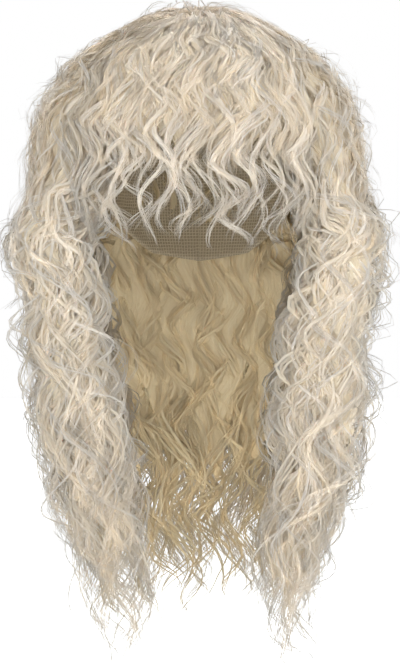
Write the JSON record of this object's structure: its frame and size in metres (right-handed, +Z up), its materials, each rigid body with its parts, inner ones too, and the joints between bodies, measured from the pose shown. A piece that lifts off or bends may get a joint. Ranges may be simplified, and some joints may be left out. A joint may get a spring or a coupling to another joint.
{
  "type": "wig",
  "caption": "Long curly pale blond wig: a hollow cap covered by crown hair, a parted wavy fringe, side hair that hangs in long front tresses, and a curtain of back hair.",
  "frame": {"origin": "inside of the cap's top, where the wearer's head bears", "axes": "+Z up, the fringe faces -Y, +X is the viewer's right seen from the front"},
  "size_m": [0.282, 0.255, 0.4675],
  "materials": {
    "cap_net": "stretch net with sewn wefts, matt",
    "hair": "pale blond synthetic fibre, curled, soft sheen"
  },
  "bodies": {
    "root": {"cap": "cap_net", "crown_hair": "hair", "fringe": "hair", "side_hair_left": "hair", "side_hair_right": "hair", "back_hair": "hair"}
  },
  "joints": []
}
